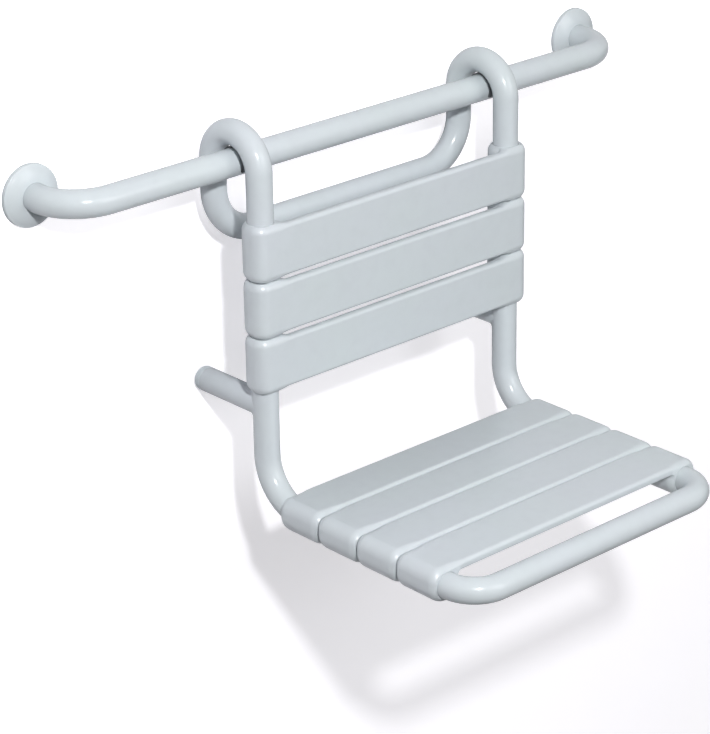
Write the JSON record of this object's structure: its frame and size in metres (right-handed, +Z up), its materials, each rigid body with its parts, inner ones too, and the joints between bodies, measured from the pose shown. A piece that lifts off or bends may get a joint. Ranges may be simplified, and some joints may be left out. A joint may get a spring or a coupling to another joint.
{
  "type": "hang-on shower seat",
  "caption": "Slatted shower seat with a backrest on a bent tube frame that hangs by hooks on a wall grab rail, slides along it and lifts off.",
  "frame": {"origin": "on the wall plane, level with the rail's axis and halfway along the rail", "axes": "+X along the wall to the right as seen from the room, +Y into the wall, +Z up"},
  "size_m": [0.933, 0.507, 0.4816],
  "materials": {
    "polyamide": "satin gloss moulded polyamide",
    "core_steel": "plain steel",
    "screw_steel": "stainless",
    "glide_plastic": "matt",
    "buffer_rubber": "matt"
  },
  "bodies": {
    "rail": {"rail_sleeve": "polyamide", "rail_core": "core_steel", "left_flange_plate": "core_steel", "left_flange_cover": "polyamide", "left_flange_screw_1": "screw_steel", "left_flange_screw_2": "screw_steel", "left_flange_screw_3": "screw_steel", "right_flange_plate": "core_steel", "right_flange_cover": "polyamide", "right_flange_screw_1": "screw_steel", "right_flange_screw_2": "screw_steel", "right_flange_screw_3": "screw_steel"},
    "glides": {"left_hook_glide": "glide_plastic", "right_hook_glide": "glide_plastic"},
    "seat": {"left_side_sleeve": "polyamide", "right_side_sleeve": "polyamide", "rear_bar_sleeve": "polyamide", "front_bar_sleeve": "polyamide", "left_side_core": "core_steel", "right_side_core": "core_steel", "rear_bar_core": "core_steel", "front_bar_core": "core_steel", "left_rear_spigot": "core_steel", "left_front_spigot": "core_steel", "right_rear_spigot": "core_steel", "right_front_spigot": "core_steel", "left_standoff": "polyamide", "right_standoff": "polyamide", "left_wall_buffer": "buffer_rubber", "right_wall_buffer": "buffer_rubber", "back_slat_1": "polyamide", "back_slat_2": "polyamide", "back_slat_3": "polyamide", "seat_slat_1": "polyamide", "seat_slat_2": "polyamide", "seat_slat_3": "polyamide", "seat_slat_4": "polyamide", "back_slat_1_left_set_screw": "screw_steel", "back_slat_1_right_set_screw": "screw_steel", "back_slat_2_left_set_screw": "screw_steel", "back_slat_2_right_set_screw": "screw_steel", "back_slat_3_left_set_screw": "screw_steel", "back_slat_3_right_set_screw": "screw_steel", "seat_slat_1_left_set_screw": "screw_steel", "seat_slat_1_right_set_screw": "screw_steel", "seat_slat_2_left_set_screw": "screw_steel", "seat_slat_2_right_set_screw": "screw_steel", "seat_slat_3_left_set_screw": "screw_steel", "seat_slat_3_right_set_screw": "screw_steel", "seat_slat_4_left_set_screw": "screw_steel", "seat_slat_4_right_set_screw": "screw_steel"}
  },
  "joints": [
    {"name": "rail_slide", "type": "slide", "parent": "rail", "child": "glides", "axis": [1, 0, 0], "range_m": [-0.155, 0.155]},
    {"name": "seat_lift", "type": "slide", "parent": "glides", "child": "seat", "axis": [0, 0, 1], "range_m": [0, 0.15]}
  ]
}
